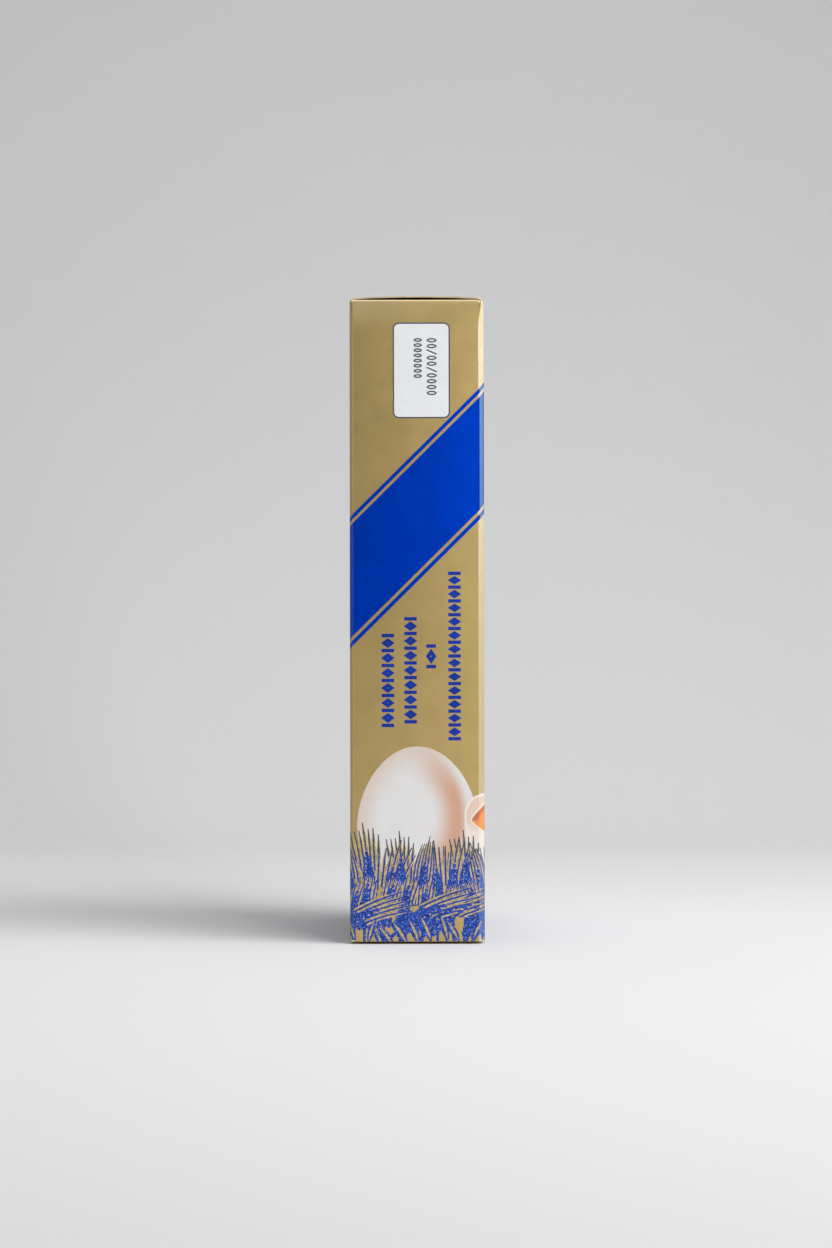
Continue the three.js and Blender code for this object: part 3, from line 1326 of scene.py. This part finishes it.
def awnShading(tree, place):
    # grey tips where the awns stand out over the eggs
    high = addRamp(tree, partsOf(tree, place["Object"])["Z"], *wheatShade["tipHeights"])
    return inkOver(tree, wheatLook, high, wheatShade["tip"])


wheatInk = finishMaterial("wheatInk", wheatLook, wheatShading)
awnInk = finishMaterial("awnInk", wheatLook, awnShading)
strawInk = finishMaterial("strawInk", strawLook)


def drawStrand(name, width, length, sway, taper, cuts):
    # a strip that narrows and bends over as it goes up
    strand = drawRectangle(name, -width / 2, 0, width / 2, length)
    cutAcross(strand, [(0, length * (cut + 1) / (cuts + 1), 0) for cut in range(cuts)], (0, 1, 0))
    for vertex in strand.data.vertices:
        share = vertex.co.y / length
        vertex.co.x = vertex.co.x * (1 - taper * share ** 3) + sway * share ** 2
    return strand


def fanOut(kind, width, lengthShare, taper):
    fan = []
    middle = (kind["awns"] - 1) / 2
    for index in range(kind["awns"]):
        side = index - middle
        length, sway = kind["awnLength"] * lengthShare, side * kind["sway"] * mm
        awn = drawStrand("awn", width, length, sway, taper, ear["awnCuts"])
        foot = kind["awnFoot"] + (middle - abs(side)) * ear["awnStep"]
        awn.location = (side * ear["awnGap"], foot, border["stroke"] * (index % 3))
        awn.rotation_euler = (0, 0, -math.radians(side * kind["spread"]))
        awn.scale = (1, 1 - ear["awnUneven"] * (index * 2 % 5) / 4, 1)      # neighbours differ in length
        fan.append(awn)
    return fan


def bend(piece, bow):
    # an arc: the further up, the further over
    for vertex in piece.data.vertices:
        vertex.co.x += bow * (vertex.co.y / (2 * ear["body"][1])) ** 2
    return piece


def drawFans(kind, way):
    # the awns: blue lines on a straw-coloured ground that hides what is behind them
    bow = way * kind["bow"]
    lines = joinAll(fanOut(kind, ear["line"], 1.0, kind["narrow"]), "blueFan")
    backing = fanOut(kind, ear["backing"], ear["backingShare"], ear["backingNarrow"])
    ground = joinAll(backing, "strawFan")
    return bend(lines, bow), bend(ground, bow)


def drawBodies(kind, way):
    # the stem and the grains in blue, and a row of glints down one side
    halfBody, halfLength = ear["body"]
    body = drawOval(16, halfBody, halfLength, 0, halfLength)
    for vertex in body.data.vertices:
        vertex.co.x *= 1 - ear["point"] * (vertex.co.y / (2 * halfLength)) ** 2
    stemHalf, stemLength = ear["stem"][0] / 2, ear["stem"][1]
    stem = drawRectangle("stem", -stemHalf, -stemLength, stemHalf, ear["stemTop"])
    cutAcross(stem, [(0, -stemLength * share, 0) for share in (0.25, 0.5, 0.75)], (0, 1, 0))
    stem.location.z = -border["stroke"]
    grain = drawOval(8, *ear["grain"])
    glint = drawOval(6, *ear["glint"])
    blue, straw = [stem, body], []
    turn = math.radians(ear["grainTurn"])
    below, above = ear["rowGaps"]
    for row in range(ear["rows"]):
        up = (row + below) / (ear["rows"] - 1 + below + above)      # from the foot, 0, to the tip, 1
        y, size = 2 * halfLength * up, 1 - ear["grainShrink"] * up ** 2
        reach = (halfBody - ear["grainInset"]) * (1 - up ** ear["grainCurve"])
        for side in (-1, 1):
            height = border["stroke"] * (1 + row % 2)
            blue.append(copyOf(grain, side * reach, y, height, -side * turn, (size, size)))
        straw.append(copyOf(glint, way * reach * ear["glintAcross"], y + ear["glintUp"], 0, -way * turn))
    blue.append(copyOf(grain, 0, 2 * halfLength, border["stroke"], 0, ear["tipGrain"]))
    remove([grain, glint])
    bow = way * kind["bow"]
    return bend(joinAll(blue, "blueEar"), bow), bend(joinAll(straw, "strawGlints"), bow)


def drawLeaves(way):
    # a lens-shaped leaf: a blue edge round a straw-coloured blade
    blades = []
    for width, share in ((leaf["width"], 1.0), (leaf["fill"], leaf["fillShare"])):
        length, bow = leaf["length"] * share, way * leaf["bow"] * share ** 2
        blade = drawStrand("blade", width, length, bow, 0.0, leaf["cuts"])
        for vertex in blade.data.vertices:
            up = vertex.co.y / length
            spine = bow * up ** 2
            vertex.co.x = spine + (vertex.co.x - spine) * 4 * up * (1 - up)
            vertex.co.y += (leaf["length"] - length) / 2
        blades.append(blade)
    return blades


def makeBorder():
    draw = random.Random(border["seed"])
    blue, awns, straw = [], [], []
    layer = border["layer"]

    def around(value, spread):
        return value + draw.uniform(-1, 1) * spread

    def lay(pieces, master, spot, height):
        # what crosses the seam is laid at both ends
        x, y, lean, size = spot
        for at in bothEnds(x):
            pieces.append(copyOf(master, at, y, height, -lean, (size, size)))

    under = 0.0
    masters = []
    turns = border["overlap"]
    for row in border["rows"]:
        sorts = [(name, way) for name in sorted(set(row["kinds"])) for way in (-1, 1)]
        fans = {(name, way): drawFans(earKinds[name], way) for name, way in sorts}
        bodies = {(name, way): drawBodies(earKinds[name], way) for name, way in sorts}
        masters += [*fans.values(), *bodies.values()]
        count = turns * round(girthLength / row["pitch"] / turns)
        above = under + 2 * layer * turns
        for index in range(count):
            way = -1 if draw.random() < row["left"] else 1
            spot = (
                girthLength * (index + draw.uniform(-border["scatter"], border["scatter"])) / count,
                around(*row["foot"]),
                math.radians(around(way * row["lean"][0], row["lean"][1])),
                row["size"] * draw.uniform(*border["sizes"]),
            )
            over = 2 * layer * (index % turns)
            sort = (row["kinds"][index % len(row["kinds"])], way)
            lay(straw, fans[sort][1], spot, under + over)
            lay(awns, fans[sort][0], spot, under + over + layer)
            lay(blue, bodies[sort][0], spot, above + over)
            lay(straw, bodies[sort][1], spot, above + over + layer)
        under = above + 2 * layer * turns
    leaves = {way: drawLeaves(way) for way in (-1, 1)}
    masters += leaves.values()
    count = turns * round(girthLength / leaf["pitch"] / turns)
    for index in range(count):
        way = 1 if draw.random() < leaf["right"] else -1
        spot = (
            girthLength * (index + draw.uniform(-leaf["scatter"], leaf["scatter"])) / count,
            draw.uniform(*leaf["foot"]) * mm,
            math.radians(around(way * leaf["lean"][0], leaf["lean"][1])),
            draw.uniform(*leaf["sizes"]),
        )
        over = 2 * layer * (index % turns)
        lay(blue, leaves[way][0], spot, under + over)
        lay(straw, leaves[way][1], spot, under + over + layer)
    remove([piece for pair in masters for piece in pair])
    for pieces, name, material, slotName in (
        (straw, "strawLines", strawInk, "straw_ink"),
        (awns, "wheatAwns", awnInk, "wheat_ink"),
        (blue, "wheatEars", wheatInk, "wheat_ink"),
    ):
        finishPrint(withinGirth(joinAll(pieces, name)), material, border["lift"], levels=False)


makeBorder()


# camera, floor and light

camera = {
    "distance": 1250 * mm,         # from the front panel
    "height": 124.2 * mm,
    "side": -0.4 * mm,
    "shownHeight": 484.3 * mm,     # what the frame takes in at the front panel
    "roll": 0.1,
    "sensor": 36,
    "clip": (0.05, 50),
}


def makeCamera():
    bpy.ops.object.camera_add(
        location=(camera["side"], -halfDepth - camera["distance"], camera["height"]),
        rotation=(math.pi / 2, math.radians(camera["roll"]), 0),
    )
    lens = bpy.context.object
    lens.data.sensor_width = camera["sensor"]
    lens.data.lens = camera["sensor"] * camera["distance"] / camera["shownHeight"]
    lens.data.clip_start, lens.data.clip_end = camera["clip"]
    bpy.context.scene.camera = lens


makeCamera()

studio = {
    "floorFront": 3.0,
    "floorBack": 0.5,
    "sweepRadius": 0.45,
    "sweepSteps": 32,
    "wallHeight": 3.0,
    "halfWidth": 4.0,
    "floorDrop": 0.02 * mm,
    "smoothing": 30,
    "paper": {"Base Color": srgb(236, 236, 237), "Roughness": 0.9, "Specular IOR Level": 0.1},
}


def makeStudio():
    # a pale paper sweep: floor, round cove and wall
    half, drop = studio["halfWidth"], -studio["floorDrop"]
    corners = [(x, y, drop) for y in (-studio["floorFront"], studio["floorBack"]) for x in (-half, half)]
    rings = foldRings(studio["sweepRadius"], studio["sweepSteps"])
    cove = [(studio["sweepRadius"] - drawn, rise) for rise, drawn in rings]
    steps = [(0, there[0] - here[0], there[1] - here[1]) for here, there in zip(cove, cove[1:])]
    floor = drawOut("studioSweep", corners, [*steps, (0, 0, studio["wallHeight"])])
    material, tree, shader = newMaterial("studioPaper")
    fill(tree, shader, studio["paper"])
    floor.data.materials.append(material)
    smooth(floor, studio["smoothing"])


makeStudio()

lights = {
    # name: place, aimed at, width, height, spread in degrees, watts
    "key": ((0.873, -0.567, 1.057), (0, 0, 0.12), 1.1, 1.0, 95, 5.0),
    "strip": ((0.524, -1.298, 0.5), (0, 0, 0.5), 0.2, 0.8, 150, 3.7),
    "top": ((0, 0, 1.4), (0, 0, 0), 0.9, 0.9, 110, 1.68),
}
worldGlow = 0.248


def makeLights():
    for name, (place, aim, width, height, spread, watts) in lights.items():
        bpy.ops.object.light_add(type="AREA", location=place)
        lamp = bpy.context.object
        lamp.name = name + "Light"
        lamp.data.shape = "RECTANGLE"
        lamp.data.size, lamp.data.size_y = width, height
        lamp.data.energy = watts
        lamp.data.spread = math.radians(spread)
        towards = Vector(aim) - Vector(place)
        lamp.rotation_euler = towards.to_track_quat("-Z", "Y").to_euler()
    world = bpy.data.worlds.new("studioAir")
    world.use_nodes = True
    world.node_tree.nodes["Background"].inputs["Color"].default_value = (1, 1, 1, 1)
    world.node_tree.nodes["Background"].inputs["Strength"].default_value = worldGlow
    bpy.context.scene.world = world
    bpy.context.scene.view_settings.view_transform = "Standard"


makeLights()
print("studio: sweep, camera and", len(lights), "lights")

# what rides on the carton, and what it stands for

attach(sleeve, "root")
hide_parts("carton")
for flap in (topPiece, bottomPiece):
    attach(flap, "root")
remove([girthCurve, swellCage])
